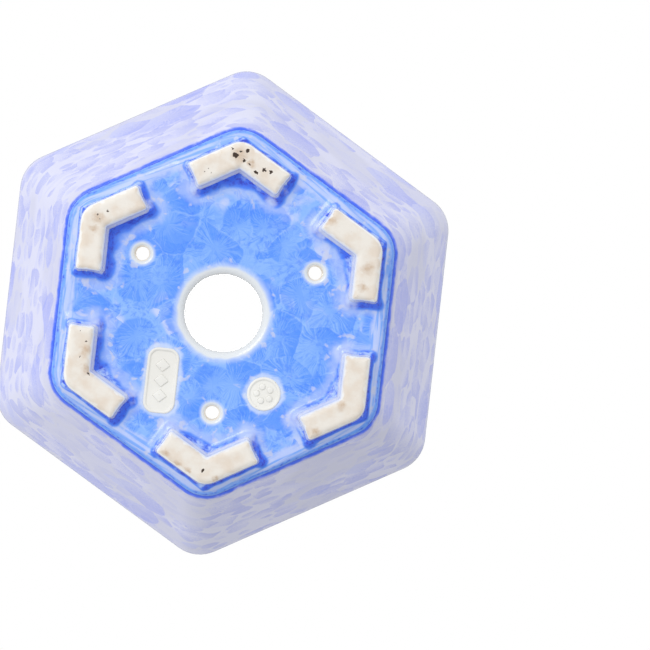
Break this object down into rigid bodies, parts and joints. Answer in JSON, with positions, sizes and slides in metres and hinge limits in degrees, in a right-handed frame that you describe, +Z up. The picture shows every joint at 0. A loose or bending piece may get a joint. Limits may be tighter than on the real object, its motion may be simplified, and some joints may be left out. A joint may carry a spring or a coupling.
{
  "type": "bonsai pot",
  "caption": "Flared hexagonal ceramic bonsai pot with rounded corners, a drain hole and wire holes in its floor, chevron feet and a blue crystalline glaze.",
  "frame": {"origin": "centre of the plane that the feet stand on", "axes": "+Z up out of the pot's mouth; two corners of the hexagon lie along -Y and +Y, two flat sides face -X and +X"},
  "size_m": [0.1352, 0.1526, 0.08],
  "materials": {
    "white_clay": "bare fired white clay, smooth",
    "bare_foot_clay": "bare fired clay, worn and stained by use",
    "seal_clay": "bare fired white clay, satin",
    "wall_glaze": "gloss crystalline glaze, pale blue with streaked crystals",
    "floor_glaze": "gloss crystalline glaze, strong blue with large crystals"
  },
  "bodies": {
    "root": {"side_wall": "white_clay", "floor_slab": "white_clay", "foot_1": "bare_foot_clay", "foot_2": "bare_foot_clay", "foot_3": "bare_foot_clay", "foot_4": "bare_foot_clay", "foot_5": "bare_foot_clay", "foot_6": "bare_foot_clay", "seal_long": "seal_clay", "seal_round": "seal_clay", "wall_glaze": "wall_glaze", "floor_glaze": "floor_glaze"}
  },
  "joints": []
}
